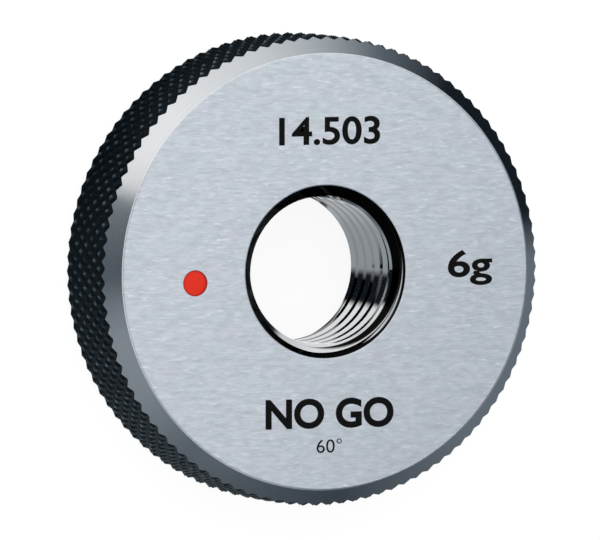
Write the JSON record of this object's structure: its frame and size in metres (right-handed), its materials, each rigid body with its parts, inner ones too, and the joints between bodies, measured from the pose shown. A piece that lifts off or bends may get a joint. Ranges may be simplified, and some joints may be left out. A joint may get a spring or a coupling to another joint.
{
  "type": "thread ring gauge",
  "caption": "Solid ring gauge with an internal screw thread, ground faces, bevelled edges, a diamond-knurled rim and a red enamel spot.",
  "frame": {"origin": "middle of the back face, on the axis of the bore", "axes": "+Z along the bore axis, out of the marked face; +Y the way up of the markings; +X to their right"},
  "size_m": [0.045, 0.045, 0.012],
  "materials": {
    "gauge_steel": "ground and lapped faces, polished bevels, blackened knurl",
    "red_enamel": "glossy stoved enamel"
  },
  "bodies": {
    "root": {"gauge_ring": "gauge_steel", "enamel_spot": "red_enamel"}
  },
  "joints": []
}
